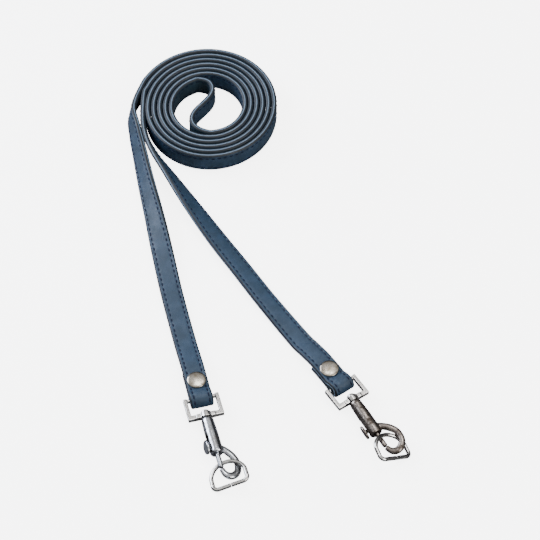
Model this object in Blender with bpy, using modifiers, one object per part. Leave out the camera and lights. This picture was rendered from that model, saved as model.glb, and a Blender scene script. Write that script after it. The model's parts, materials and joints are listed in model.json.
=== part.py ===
"""A leather training leash: a stitched two-ply strap wound into a flat coil, with a bolt snap and a D ring on each end.

Run it with: blender --background --python part.py
Metres, +Z up. +Y runs away from the snaps, towards the coil, and the leash lies on the plane Z = 0.
The origin is below the centre of the leash's bounding box.
"""

import math

import bmesh
import bpy
from mathutils import Euler, Matrix, Vector

MM = 0.001

# The strap: two plies of leather, stitched along both edges
STRAP_WIDTH = 12.0 * MM
STRAP_THICKNESS = 3.0 * MM
PLY_GAP = 0.1 * MM

# The coil: the folded strap is wound as a double spiral, so each layer's neighbour is the other half
COIL_CENTRE = Vector((-30.1, 102.2)) * MM
COIL_OUTER_RADIUS = 41.8 * MM
LAYER_PITCH = 3.4 * MM
COIL_STRETCH = (0.976, 1.024)
POINTS_PER_TURN = 36
LONGEST_STEP = 7.5 * MM
SHARPEST_TWIST = math.radians(7)
FIRST_HALF_TURNS = (0.06, 3.2)
SECOND_HALF_TURNS = (0.03, 2.74)

# The strap's free route, in millimetres. Lean is 0 where the strap stands on its edge and 90 where it lies flat.
LEFT_LEG = (
    (-47.3, -23.2, 89),
    (-53.3, 4.3, 78),
    (-58.3, 27.3, 57),
    (-63.4, 49.3, 42),
    (-67.8, 70.3, 32),
    (-71.3, 87.3, 24),
    (-73.2, 101.3, 12),
)
CENTRE_BEND = (
    (-30.3, 119.9),
    (-27.8, 114.9),
    (-29.1, 109.1),
    (-32.9, 103.6),
    (-37.1, 98.2),
    (-39.1, 93.0),
    (-38.2, 88.0),
    (-34.6, 84.2),
)
RIGHT_LEG = (
    (-66.2, 89.0, 3),
    (-60.7, 73.0, 20),
    (-50.8, 56.0, 36),
    (-37.9, 34.7, 56),
    (-23.5, 12.1, 72),
    (-10.4, -7.5, 77),
    (2.2, -26.8, 80),
)

# The loop at each end of the strap: over the eye's bar, back underneath and through one rivet
BAR_HEIGHT = 4.6 * MM
BAR_RADIUS = 1.1 * MM
WRAP_RADIUS = 3.0 * MM
RIVET_BACK = 10.1 * MM
LOOP_APPROACH = ((-38.0, 1.8), (-28.0, 3.6), (-20.5, 5.2), (-15.5, 5.55), (-10.1, 5.55), (-4.9, 5.45), (-2.4, 6.8))
LOOP_RETURN = ((-3.0, 1.8), (-6.0, 2.42), (-9.9, 2.45), (-13.7, 2.45), (-17.7, 2.45))

# Each end: where the eye's bar is, then the headings of the strap, eye and snap from -Y towards +X,
# the dip of the snap's axis and its roll, which lifts the hook's side
ENDS = {
    "left": {"bar": (-30.4, -91.1), "strap": 14.0, "eye": 15.0, "snap": 15.0, "dip": -0.6, "roll": -20.5},
    "right": {"bar": (41.4, -82.6), "strap": 35.0, "eye": 34.0, "snap": 30.0, "dip": 0.9, "roll": 10.5},
}

# The eye: a square frame whose crossbar carries the swivel pin
EYE_WIDTH = 18.8 * MM
EYE_ARM = 2.0 * MM
EYE_HEIGHT = 2.6 * MM
EYE_FRONT = 12.0 * MM
CROSSBAR = 2.5 * MM
BOSS_RADIUS = 3.0 * MM
PIN_RADIUS = 1.25 * MM
PIN_HEAD_RADIUS = 2.2 * MM
PIN_HOLE_RADIUS = 1.55 * MM
PIN_END = 15.8 * MM

# The snap body: a barrel with a bore, a side slot and a hook that curves round to meet the bolt
BARREL_START = 12.6 * MM
BARREL_END = 34.2 * MM
BARREL_RADII = (3.15 * MM, 3.45 * MM)
BORE_RADIUS = 1.6 * MM
BORE_START = 17.2 * MM
SLOT = (22.9 * MM, 32.6 * MM)
SLOT_WIDTH = 2.5 * MM
# The hook's centre line in millimetres from the barrel's end: along, sideways and half width
HOOK_ROUTE = (
    (-4.0, 2.0, 1.7),
    (-2.0, 4.6, 1.85),
    (0.5, 7.0, 1.9),
    (3.8, 8.9, 1.8),
    (7.3, 9.3, 1.75),
    (10.6, 8.4, 1.8),
    (12.9, 6.2, 1.95),
    (13.6, 3.7, 1.95),
    (12.7, 1.6, 1.8),
    (10.9, 0.5, 1.55),
    (9.2, 0.1, 1.4),
)
HOOK_FLATNESS = 0.82

# The bolt, its thumb knob and its spring
BOLT_RADIUS = 1.3 * MM
BOLT_SPAN = (27.7 * MM, 42.6 * MM)
KNOB_AT = 30.2 * MM
KNOB_RADIUS = 4.0 * MM
KNOB_HEIGHT = 0.72
KNOB_FACE = 5.5 * MM
KNOB_THICKNESS = 1.4 * MM
KNOB_NECK_RADIUS = 1.0 * MM
KNOB_STEM_RADIUS = 0.7 * MM
SPRING_RADIUS = 1.15 * MM
SPRING_WIRE_RADIUS = 0.2 * MM
SPRING_SPAN = (17.4 * MM, 27.5 * MM)
SPRING_TURNS = 6

# The rivet
RIVET_CAP_RADIUS = 4.9 * MM
RIVET_CAP_HEIGHT = 1.6 * MM
RIVET_POST_RADIUS = 1.5 * MM
RIVET_HEAD_RADIUS = 3.6 * MM
RIVET_HEAD_THICKNESS = 0.85 * MM
RIVET_TOP = 7.2 * MM

# The D ring, bent from wire, with a butt gap in the middle of its straight side
RING_WIRE_RADIUS = 1.1 * MM
RING_HALF_WIDTH = 9.1 * MM
RING_DEPTH = 13.8 * MM
RING_GAP = 0.3 * MM

ROUND_STEPS = 24

PARTS = None
CUTTERS = None


# Scene and materials

def clear_scene():
    for obj in list(bpy.data.objects):
        bpy.data.objects.remove(obj, do_unlink=True)


def new_collection(name):
    collection = bpy.data.collections.new(name)
    bpy.context.scene.collection.children.link(collection)
    return collection


def material(name, colour, roughness, metallic=0.0):
    made = bpy.data.materials.new(name)
    made.use_nodes = True
    shader = made.node_tree.nodes["Principled BSDF"]
    shader.inputs["Base Color"].default_value = (*colour, 1.0)
    shader.inputs["Roughness"].default_value = roughness
    shader.inputs["Metallic"].default_value = metallic
    return made


def finish_part(obj, mat, parent=None):
    obj.data.materials.clear()
    obj.data.materials.append(mat)
    obj.parent = parent
    return obj


def make_cutter(obj, parent=None):
    for collection in list(obj.users_collection):
        collection.objects.unlink(obj)
    CUTTERS.objects.link(obj)
    obj.hide_render = True
    obj.display_type = "WIRE"
    obj.parent = parent
    return obj


def add_object(name, mesh):
    obj = bpy.data.objects.new(name, mesh)
    PARTS.objects.link(obj)
    return obj


def add_empty(name, location, turn, parent=None):
    empty = bpy.data.objects.new(name, None)
    PARTS.objects.link(empty)
    empty.empty_display_size = 5 * MM
    empty.location = location
    empty.rotation_euler = turn
    empty.parent = parent
    return empty


# Shapes

def boolean(obj, other, operation):
    modifier = obj.modifiers.new(operation.title() + " " + other.name, "BOOLEAN")
    modifier.object = other
    modifier.operation = operation


def mesh_from_bmesh(name, bm, smooth=True):
    mesh = bpy.data.meshes.new(name)
    bm.to_mesh(mesh)
    bm.free()
    if smooth:
        mesh.shade_smooth()
        mesh.set_sharp_from_angle(angle=math.radians(35))
    return mesh


def rod(name, radius, start, end, steps=ROUND_STEPS):
    """A round rod along the local X axis."""
    bm = bmesh.new()
    bmesh.ops.create_cone(
        bm, cap_ends=True, segments=steps, radius1=radius, radius2=radius, depth=end - start
    )
    bmesh.ops.rotate(bm, verts=bm.verts, matrix=Matrix.Rotation(math.radians(90), 3, "Y"))
    bmesh.ops.translate(bm, verts=bm.verts, vec=((start + end) / 2, 0, 0))
    return add_object(name, mesh_from_bmesh(name, bm))


def block(name, low, high):
    bm = bmesh.new()
    bmesh.ops.create_cube(bm, size=1.0)
    size = Vector(high) - Vector(low)
    bmesh.ops.scale(bm, verts=bm.verts, vec=size)
    bmesh.ops.translate(bm, verts=bm.verts, vec=Vector(low) + size / 2)
    return add_object(name, mesh_from_bmesh(name, bm, smooth=False))


def turned(name, profile, steps=ROUND_STEPS):
    """A turned piece about its local Z axis. The profile is (radius, height), down its outer side."""
    mesh = bpy.data.meshes.new(name)
    points = [(radius, 0, height) for radius, height in profile]
    mesh.from_pydata(points, [(i, i + 1) for i in range(len(points) - 1)], [])
    obj = add_object(name, mesh)
    screw = obj.modifiers.new("Turn", "SCREW")
    screw.axis = "Z"
    screw.steps = steps
    screw.render_steps = steps
    screw.use_merge_vertices = True
    screw.merge_threshold = 0.01 * MM
    screw.use_smooth_shade = True
    return obj


def lie_along_x(obj):
    obj.rotation_euler = (0, math.radians(90), 0)
    return obj


def wire(name, points, radius, sides=2, radii=None):
    """A round wire along points: a poly curve with a bevel and filled caps."""
    curve = bpy.data.curves.new(name, "CURVE")
    curve.dimensions = "3D"
    curve.bevel_depth = radius
    curve.bevel_resolution = sides
    curve.use_fill_caps = True
    spline = curve.splines.new("POLY")
    spline.points.add(len(points) - 1)
    for i, point in enumerate(points):
        spline.points[i].co = (*point, 1.0)
        spline.points[i].radius = radii[i] if radii else 1.0
    return add_object(name, curve)


def as_mesh(obj):
    """The same object as a welded mesh, so that it can be cut and joined."""
    graph = bpy.context.evaluated_depsgraph_get()
    mesh = bpy.data.meshes.new_from_object(obj.evaluated_get(graph))
    bm = bmesh.new()
    bm.from_mesh(mesh)
    bmesh.ops.remove_doubles(bm, verts=bm.verts, dist=0.001 * MM)
    bmesh.ops.recalc_face_normals(bm, faces=bm.faces)
    bm.to_mesh(mesh)
    bm.free()
    name = obj.name
    matrix = obj.matrix_world.copy()
    bpy.data.objects.remove(obj, do_unlink=True)
    made = add_object(name, mesh)
    made.matrix_world = matrix
    return made


def smooth_curve(points, per_span):
    """Points along a Catmull-Rom curve through the given vectors, with a count for each span or one for all."""
    if isinstance(per_span, int):
        per_span = [per_span] * (len(points) - 1)
    ends = [2 * points[0] - points[1]] + list(points) + [2 * points[-1] - points[-2]]
    found = []
    for before, start, end, after, count in zip(ends, ends[1:], ends[2:], ends[3:], per_span):
        for step in range(count):
            t = step / count
            found.append(
                0.5 * (2 * start + (end - before) * t
                       + (2 * before - 5 * start + 4 * end - after) * t ** 2
                       + (3 * start - before - 3 * end + after) * t ** 3)
            )
    found.append(points[-1])
    return found


def sweep(name, stations, outline):
    """A closed solid whose outline, (across, outwards), is carried along the stations."""
    bm = bmesh.new()
    rings = []
    for centre, across, outwards in stations:
        rings.append([bm.verts.new(centre + across * a + outwards * b) for a, b in outline])
    count = len(outline)
    for ring, following in zip(rings, rings[1:]):
        for i in range(count):
            j = (i + 1) % count
            # Each diagonal leans the same way, so that the plies' facing surfaces stay parallel.
            if outline[i][0] < outline[j][0]:
                bm.faces.new((ring[i], ring[j], following[j]))
                bm.faces.new((ring[i], following[j], following[i]))
            else:
                bm.faces.new((ring[i], ring[j], following[i]))
                bm.faces.new((ring[j], following[j], following[i]))
    bm.faces.new(rings[0][::-1])
    bm.faces.new(rings[-1])
    bmesh.ops.recalc_face_normals(bm, faces=bm.faces)
    return add_object(name, mesh_from_bmesh(name, bm))


# The strap's route

def heading_vectors(degrees):
    """The forward and rightward directions of a heading measured from -Y towards +X."""
    angle = math.radians(degrees)
    return Vector((math.sin(angle), -math.cos(angle), 0)), Vector((math.cos(angle), math.sin(angle), 0))


def bar_centre(side):
    x, y = ENDS[side]["bar"]
    return Vector((x * MM, y * MM, BAR_HEIGHT))


def coil_points(turn_range, offset):
    """Points of one half of the double spiral, from outside to inside, as seen from above clockwise."""
    first, last = turn_range
    count = round((last - first) * POINTS_PER_TURN)
    found = []
    for i in range(count + 1):
        turns = first + (last - first) * i / count
        radius = COIL_OUTER_RADIUS - offset - 2 * LAYER_PITCH * turns
        angle = 2 * math.pi * turns
        x = COIL_CENTRE.x - radius * COIL_STRETCH[0] * math.cos(angle)
        y = COIL_CENTRE.y + radius * COIL_STRETCH[1] * math.sin(angle)
        found.append(Vector((x, y, STRAP_WIDTH / 2)))
    return found


def end_points(side):
    """The end loop's centre line, from the flap's cut end to where the strap lies on the ground."""
    forward, _ = heading_vectors(ENDS[side]["strap"])
    bar = bar_centre(side)
    profile = [Vector((x, z)) * MM for x, z in reversed(LOOP_RETURN)]
    for degrees in range(-75, 76, 15):
        angle = math.radians(degrees)
        profile.append(Vector((WRAP_RADIUS * math.cos(angle), BAR_HEIGHT + WRAP_RADIUS * math.sin(angle))))
    profile += [Vector((x, z)) * MM for x, z in reversed(LOOP_APPROACH)]
    return [Vector((bar.x, bar.y, 0)) + forward * p.x + Vector((0, 0, p.y)) for p in profile]


def leg_points(route):
    """Centre-line points of a leg, each with the direction of the edge that is on top in the coil."""
    places = [Vector((x, y, 0)) * MM for x, y, _ in route]
    found = []
    for i, (_, _, lean) in enumerate(route):
        along = (places[min(i + 1, len(places) - 1)] - places[max(i - 1, 0)]).normalized()
        lean = math.radians(lean)
        height = STRAP_WIDTH / 2 * math.cos(lean) + (STRAP_THICKNESS / 2 + 0.05 * MM) * math.sin(lean)
        edge = Vector((0, 0, math.cos(lean))) + along.cross(Vector((0, 0, 1))) * math.sin(lean)
        found.append((places[i] + Vector((0, 0, height)), edge))
    return found


def strap_route():
    """The whole centre line as (point, edge direction), from the left end to the right end."""
    up = Vector((0, 0, 1))
    _, left_side = heading_vectors(ENDS["left"]["strap"])
    _, right_side = heading_vectors(ENDS["right"]["strap"])
    route = [(point, left_side) for point in end_points("left")]
    route += leg_points(LEFT_LEG)
    route += [(point, up) for point in coil_points(FIRST_HALF_TURNS, 0.0)]
    route += [(Vector((x * MM, y * MM, STRAP_WIDTH / 2)), up) for x, y in CENTRE_BEND]
    route += [(point, up) for point in reversed(coil_points(SECOND_HALF_TURNS, LAYER_PITCH))]
    route += leg_points(RIGHT_LEG)
    route += [(point, -right_side) for point in reversed(end_points("right"))]
    return route


def strap_stations():
    """(centre, edge direction, grain direction) along the strap, closer together where it twists."""
    route = strap_route()
    counts = []
    for (start, edge), (end, next_edge) in zip(route, route[1:]):
        by_length = math.ceil((end - start).length / LONGEST_STEP - 0.01)
        by_twist = math.ceil(edge.angle(next_edge) / SHARPEST_TWIST - 0.01)
        counts.append(max(by_length, by_twist, 1))
    centres = smooth_curve([point for point, _ in route], counts)
    edges = smooth_curve([edge for _, edge in route], counts)
    stations = []
    length = 0.0
    for i, centre in enumerate(centres):
        before = centres[max(i - 1, 0)]
        after = centres[min(i + 1, len(centres) - 1)]
        along = (after - before).normalized()
        grain = edges[i].cross(along).normalized()
        stations.append((centre, along.cross(grain), grain))
        length += (centre - before).length
    print("strap length %.0f mm, %d stations" % (length / MM, len(stations)))
    return stations


def make_strap(leather, lining):
    stations = strap_stations()
    half = STRAP_WIDTH / 2
    outer = STRAP_THICKNESS / 2
    inner = PLY_GAP / 2
    face_outline = ((-half, inner), (half, inner), (half, outer), (-half, outer))
    lining_outline = ((-half, -outer), (half, -outer), (half, -inner), (-half, -inner))
    plies = (
        finish_part(sweep("strap_face", stations, face_outline), leather),
        finish_part(sweep("strap_lining", stations, lining_outline), lining),
    )
    for side in ENDS:
        forward, _ = heading_vectors(ENDS[side]["strap"])
        hole = bar_centre(side) - forward * RIVET_BACK
        cutter = rod(side + "_rivet_hole", RIVET_POST_RADIUS + 0.1 * MM, -9 * MM, 9 * MM)
        cutter.rotation_euler = (0, math.radians(90), 0)
        cutter.location = (hole.x, hole.y, BAR_HEIGHT)
        make_cutter(cutter)
        for ply in plies:
            boolean(ply, cutter, "DIFFERENCE")


# The hardware. Each end is built with its X axis along the snap and its Y axis on the hook's side.

def make_rivet(side, metal):
    forward, _ = heading_vectors(ENDS[side]["strap"])
    place = bar_centre(side) - forward * RIVET_BACK
    socket = RIVET_POST_RADIUS + 0.1 * MM
    dome = []
    for i in range(7):
        angle = math.radians(90 - 13 * i)
        dome.append((RIVET_CAP_RADIUS * math.cos(angle), 0.35 * MM + (RIVET_CAP_HEIGHT - 0.35 * MM) * math.sin(angle)))
    dome[0] = (0, RIVET_CAP_HEIGHT)
    cap_profile = dome + [
        (RIVET_CAP_RADIUS, 0.35 * MM), (RIVET_CAP_RADIUS - 0.2 * MM, 0), (socket, 0), (socket, 0.8 * MM), (0, 0.8 * MM)
    ]
    cap = turned(side + "_rivet_cap", cap_profile)
    cap.location = (place.x, place.y, RIVET_TOP)
    finish_part(cap, metal)
    post_profile = (
        (0, RIVET_TOP + 0.6 * MM),
        (RIVET_POST_RADIUS, RIVET_TOP + 0.6 * MM),
        (RIVET_POST_RADIUS, RIVET_HEAD_THICKNESS),
        (RIVET_HEAD_RADIUS, RIVET_HEAD_THICKNESS),
        (RIVET_HEAD_RADIUS, 0.25 * MM),
        (RIVET_HEAD_RADIUS - 0.3 * MM, 0),
        (0, 0),
    )
    post = turned(side + "_rivet_post", post_profile)
    post.location = (place.x, place.y, 0)
    finish_part(post, metal)


def make_eye(side, pivot, metal):
    half = EYE_WIDTH / 2
    eye = block(side + "_swivel_eye", (-BAR_RADIUS, -half, -EYE_HEIGHT / 2), (EYE_FRONT, half, EYE_HEIGHT / 2))
    bevel = eye.modifiers.new("Soft edges", "BEVEL")
    bevel.width = 0.45 * MM
    bevel.segments = 1
    window = block(
        side + "_eye_window",
        (-3 * MM, EYE_ARM - half, -4 * MM), (EYE_FRONT - CROSSBAR, half - EYE_ARM, 4 * MM),
    )
    bar = rod(side + "_eye_bar", BAR_RADIUS, -half + 0.5 * MM, half - 0.5 * MM)
    bar.rotation_euler = (0, 0, math.radians(90))
    boss = rod(side + "_eye_boss", BOSS_RADIUS, EYE_FRONT - CROSSBAR - 0.3 * MM, EYE_FRONT + 0.15 * MM)
    hole = rod(side + "_eye_pin_hole", PIN_HOLE_RADIUS, 5 * MM, 14 * MM)
    for other, operation in ((window, "DIFFERENCE"), (bar, "UNION"), (boss, "UNION"), (hole, "DIFFERENCE")):
        make_cutter(other, pivot)
        boolean(eye, other, operation)
    finish_part(eye, metal, pivot)


def make_pin(side, axis, metal):
    head_back = EYE_FRONT - CROSSBAR - 0.6 * MM
    profile = (
        (0, PIN_END),
        (PIN_RADIUS, PIN_END),
        (PIN_RADIUS, head_back),
        (PIN_HEAD_RADIUS, head_back),
        (PIN_HEAD_RADIUS, head_back - 0.5 * MM),
        (PIN_HEAD_RADIUS * 0.75, head_back - 1.2 * MM),
        (0, head_back - 1.5 * MM),
    )
    finish_part(lie_along_x(turned(side + "_swivel_pin", profile)), metal, axis)


def hook_stations():
    """The hook's stations for sweep, with the flattened section's half sizes in their lengths."""
    found = []
    places = smooth_curve([Vector(point) for point in HOOK_ROUTE], 3)
    for i, place in enumerate(places):
        along = places[min(i + 1, len(places) - 1)] - places[max(i - 1, 0)]
        sideways = Vector((-along.y, along.x, 0)).normalized() * place.z * MM
        centre = Vector((place.x * MM + BARREL_END, place.y * MM, 0))
        found.append((centre, sideways, Vector((0, 0, place.z * MM * HOOK_FLATNESS))))
    return found


def make_snap_body(side, axis, metal):
    thin, thick = BARREL_RADII
    profile = (
        (0, BARREL_END),
        (thick - 0.5 * MM, BARREL_END),
        (thick, BARREL_END - 0.6 * MM),
        (thick, BARREL_START + 9 * MM),
        (thin, BARREL_START + 1.2 * MM),
        (thin - 0.4 * MM, BARREL_START),
        (0, BARREL_START),
    )
    body = lie_along_x(turned(side + "_snap_body", profile))
    body = as_mesh(body)
    body.data.shade_smooth()
    body.data.set_sharp_from_angle(angle=math.radians(35))
    circle = [(math.cos(math.pi * i / 6), math.sin(math.pi * i / 6)) for i in range(12)]
    hook = sweep(side + "_hook", hook_stations(), circle)
    bore = rod(side + "_bore", BORE_RADIUS, BORE_START, BARREL_END + 5 * MM)
    slot = block(side + "_slot", (SLOT[0], -8 * MM, -SLOT_WIDTH / 2), (SLOT[1], 0, SLOT_WIDTH / 2))
    pin_hole = rod(side + "_pin_hole", PIN_RADIUS + 0.1 * MM, 8 * MM, PIN_END + 0.2 * MM)
    for other, operation in (
        (hook, "UNION"), (bore, "DIFFERENCE"), (slot, "DIFFERENCE"), (pin_hole, "DIFFERENCE"),
    ):
        make_cutter(other, axis)
        boolean(body, other, operation)
    finish_part(body, metal, axis)


def make_bolt(side, slide, metal):
    start, end = BOLT_SPAN
    profile = (
        (0, end),
        (BOLT_RADIUS - 0.4 * MM, end),
        (BOLT_RADIUS, end - 0.5 * MM),
        (BOLT_RADIUS, start + 0.2 * MM),
        (BOLT_RADIUS - 0.2 * MM, start),
        (0, start),
    )
    bolt = lie_along_x(turned(side + "_bolt", profile))
    hole = rod(side + "_bolt_hole", KNOB_STEM_RADIUS + 0.1 * MM, -3 * MM, 0.3 * MM, steps=12)
    hole.rotation_euler = (0, 0, math.radians(90))
    hole.location = (KNOB_AT, 0, 0)
    make_cutter(hole, slide)
    boolean(bolt, hole, "DIFFERENCE")
    finish_part(bolt, metal, slide)


def make_knob(side, slide, metal):
    back = KNOB_FACE - KNOB_THICKNESS
    neck_end = BOLT_RADIUS + 0.15 * MM
    profile = (
        (0, KNOB_FACE),
        (KNOB_RADIUS - 0.5 * MM, KNOB_FACE),
        (KNOB_RADIUS, KNOB_FACE - 0.4 * MM),
        (KNOB_RADIUS, back + 0.3 * MM),
        (KNOB_RADIUS - 0.4 * MM, back),
        (KNOB_NECK_RADIUS + 0.7 * MM, back - 0.1 * MM),
        (KNOB_NECK_RADIUS, back - 0.8 * MM),
        (KNOB_NECK_RADIUS, neck_end),
        (KNOB_STEM_RADIUS, neck_end),
        (KNOB_STEM_RADIUS, -0.15 * MM),
        (0, -0.15 * MM),
    )
    knob = turned(side + "_thumb_knob", profile, steps=20)
    knob.rotation_euler = (math.radians(90), 0, 0)
    knob.location = (KNOB_AT, 0, 0)
    knob.scale = (1, KNOB_HEIGHT, 1)
    finish_part(knob, metal, slide)


def make_spring(side, axis, metal):
    start, end = SPRING_SPAN
    count = SPRING_TURNS * 10
    points = []
    for i in range(count + 1):
        angle = 2 * math.pi * SPRING_TURNS * i / count
        along = start + SPRING_WIRE_RADIUS + (end - start - 2 * SPRING_WIRE_RADIUS) * i / count
        points.append((along, SPRING_RADIUS * math.cos(angle), SPRING_RADIUS * math.sin(angle)))
    finish_part(wire(side + "_bolt_spring", points, SPRING_WIRE_RADIUS, sides=1), metal, axis)


def ring_points():
    """The D ring's centre line in its own plane, starting and ending at the gap in its straight side."""
    corner = 2.6 * MM
    straight = RING_HALF_WIDTH - corner
    quarter = [(RING_GAP / 2, 0), (straight * 0.5, 0)]
    for degrees in range(-90, 16, 21):
        angle = math.radians(degrees)
        quarter.append((straight + corner * math.cos(angle), corner + corner * math.sin(angle)))
    top = RING_DEPTH
    low = corner * 2
    for i in range(1, 9):
        angle = math.radians(90 * i / 8)
        quarter.append((RING_HALF_WIDTH * math.cos(angle), low + (top - low) * math.sin(angle)))
    half = [Vector((x, y, 0)) for x, y in quarter]
    mirrored = [Vector((-p.x, p.y, 0)) for p in reversed(half[:-1])]
    return half + mirrored


def make_ring(side, place, metal):
    ring = wire(side + "_d_ring", ring_points(), RING_WIRE_RADIUS, sides=2)
    finish_part(ring, metal, place)


# Each ring: where the middle of its straight side is, its heading, and how far it tips sideways and endways
RINGS = {
    "left": {"at": (-14.4, -141.4, 3.51), "heading": 14.4, "side_tilt": -14.1, "end_tilt": -1.8},
    "right": {"at": (68.2, -126.4, 4.72), "heading": 24.5, "side_tilt": 24.9, "end_tilt": 6.2},
}


def make_end(side, metals):
    end = ENDS[side]
    bar = bar_centre(side)
    crossbar = Vector((EYE_FRONT - CROSSBAR / 2, 0, 0))
    quarter = math.radians(-90)
    eye_turn = Euler((0, math.radians(end["dip"]), quarter + math.radians(end["eye"])))
    snap_turn = Euler((math.radians(end["roll"]), math.radians(end["dip"]), quarter + math.radians(end["snap"])))
    snap_origin = bar + eye_turn.to_matrix() @ crossbar - snap_turn.to_matrix() @ crossbar
    eye_pivot = add_empty(side + "_eye_pivot", bar, eye_turn)
    snap_axis = add_empty(side + "_snap_axis", snap_origin, snap_turn)
    slide = add_empty(side + "_bolt_slide", (0, 0, 0), Euler(), snap_axis)
    make_rivet(side, metals["cap"])
    make_eye(side, eye_pivot, metals["plated"])
    make_pin(side, snap_axis, metals["plated"])
    make_snap_body(side, snap_axis, metals["aged"])
    make_bolt(side, slide, metals["aged"])
    make_knob(side, slide, metals["aged"])
    make_spring(side, snap_axis, metals["spring"])
    ring = RINGS[side]
    tilts = (math.radians(ring[name]) for name in ("end_tilt", "side_tilt", "heading"))
    place = add_empty(side + "_ring_place", Vector(ring["at"]) * MM, Euler(tilts))
    make_ring(side, place, metals["plated"])


def main():
    global PARTS, CUTTERS
    clear_scene()
    PARTS = new_collection("training_leash")
    CUTTERS = new_collection("cutters")
    make_strap(
        material("navy leather", (0.035, 0.075, 0.115), 0.42),
        material("navy lining", (0.03, 0.06, 0.095), 0.5),
    )
    metals = {
        "cap": material("satin nickel", (0.62, 0.6, 0.56), 0.32, 1.0),
        "plated": material("bright nickel", (0.75, 0.75, 0.74), 0.18, 1.0),
        "aged": material("antique nickel", (0.45, 0.44, 0.41), 0.3, 1.0),
        "spring": material("spring steel", (0.5, 0.5, 0.5), 0.35, 1.0),
    }
    for side in ENDS:
        make_end(side, metals)


main()
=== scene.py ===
# %% [markdown]
# # A leather training leash
# One flat strap, stitched from two plies, lies wound into a coil. Each end is folded over the bar of a
# swivel eye and riveted, and each eye carries a bolt snap that holds a D ring.
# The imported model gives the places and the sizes. This lesson makes the fine surfaces around it,
# so every finished mesh keeps its place in its own vertices and its object stays at the origin.

# %% Load the fixed frame
import json
import math

import bmesh
import bpy
from mathutils import Matrix, Vector


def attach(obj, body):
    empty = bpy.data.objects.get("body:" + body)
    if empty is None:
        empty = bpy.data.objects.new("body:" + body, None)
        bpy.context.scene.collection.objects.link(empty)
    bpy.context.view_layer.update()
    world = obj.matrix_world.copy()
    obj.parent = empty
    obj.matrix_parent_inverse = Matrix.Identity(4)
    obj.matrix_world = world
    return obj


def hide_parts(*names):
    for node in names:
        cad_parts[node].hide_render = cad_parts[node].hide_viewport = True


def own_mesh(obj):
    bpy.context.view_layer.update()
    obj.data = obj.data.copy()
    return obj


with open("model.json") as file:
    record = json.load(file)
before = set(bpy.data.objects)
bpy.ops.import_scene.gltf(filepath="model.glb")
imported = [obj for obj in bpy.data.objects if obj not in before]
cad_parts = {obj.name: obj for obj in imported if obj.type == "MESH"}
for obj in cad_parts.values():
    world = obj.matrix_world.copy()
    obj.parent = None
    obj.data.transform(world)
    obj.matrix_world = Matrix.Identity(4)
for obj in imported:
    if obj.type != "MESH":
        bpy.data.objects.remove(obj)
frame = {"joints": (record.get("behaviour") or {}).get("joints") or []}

MM = 0.001
UP = Vector((0, 0, 1))
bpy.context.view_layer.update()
joints = {joint["name"]: joint for joint in frame["joints"]}

# %% [markdown]
# ## Camera, floor and light
# The camera comes first, because every later choice is judged through it. It looks down at the leash
# from the side of the snaps, with a long lens, so the coil stays nearly free of perspective.

# %% Camera
CAMERA_PLACE = (0.00495, -0.6570, 0.8865)
CAMERA_TILT = math.radians(36.3)
CAMERA_LENS = 136.0

camera_data = bpy.data.cameras.new("camera")
camera_data.lens = CAMERA_LENS
camera_data.sensor_width = 36.0
camera = bpy.data.objects.new("camera", camera_data)
camera.location = CAMERA_PLACE
camera.rotation_euler = (CAMERA_TILT, 0, 0)
bpy.context.scene.collection.objects.link(camera)
bpy.context.scene.camera = camera
print("camera lens", CAMERA_LENS, "mm")

# %% [markdown]
# The floor is one large pale sheet. Three soft boxes light the leash: a broad one to the left and behind
# draws the sheen on the strap, and two weaker ones open the shadows. The sky is bright overhead and dark
# near the horizon, because polished metal needs something dark to mirror. For the same reason the floor
# shows itself pale to the eye and dark to a mirror, as a table with black cards round it would.

# %% Floor and lights
FLOOR_SIZE = 6.0
FLOOR_DROP = 0.05 * MM
FLOOR_GLOW = 5.0
PALE_FLOOR = (0.93, 0.93, 0.93)
MIRRORED_FLOOR = (0.1, 0.1, 0.105)
FLOOR_ROUGHNESS = 0.8
SKY_STRENGTH = 0.9
# The sky's ramp: how far up it starts and ends, and the colour there
HORIZON = (0.42, (0.02, 0.02, 0.025, 1))
OVERHEAD = (0.72, (1.0, 1.0, 1.0, 1))
# Each soft box: its place, its side, its power and its colour
LIGHTS = {
    "left_softbox": ((-1.25, 0.75, 0.75), 0.9, 40.0, (0.8, 0.87, 1.0)),
    "front_right_softbox": ((1.1, -0.9, 0.9), 0.9, 16.0, (1.0, 0.98, 0.95)),
    "top_softbox": ((0.15, 0.5, 1.9), 0.8, 14.0, (1.0, 1.0, 1.0)),
}


def colour_sockets(sockets):
    """A Mix node's colour sockets, out of all the sockets that share their names."""
    return [socket for socket in sockets if socket.type == "RGBA"]


def make_floor_material():
    made = bpy.data.materials.new("pale_floor")
    made.use_nodes = True
    tree = made.node_tree
    shader = tree.nodes["Principled BSDF"]
    rays = tree.nodes.new("ShaderNodeLightPath")
    colour = tree.nodes.new("ShaderNodeMix")
    colour.data_type = "RGBA"
    pale, mirrored = colour_sockets(colour.inputs)
    pale.default_value = (*PALE_FLOOR, 1)
    mirrored.default_value = (*MIRRORED_FLOOR, 1)
    glow = tree.nodes.new("ShaderNodeMath")
    glow.operation = "MULTIPLY"
    glow.inputs[1].default_value = FLOOR_GLOW
    tree.links.new(rays.outputs["Is Glossy Ray"], colour.inputs["Factor"])
    tree.links.new(colour_sockets(colour.outputs)[0], shader.inputs["Base Color"])
    tree.links.new(rays.outputs["Is Camera Ray"], glow.inputs[0])
    tree.links.new(glow.outputs[0], shader.inputs["Emission Strength"])
    shader.inputs["Emission Color"].default_value = (1, 1, 1, 1)
    shader.inputs["Roughness"].default_value = FLOOR_ROUGHNESS
    return made


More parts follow.
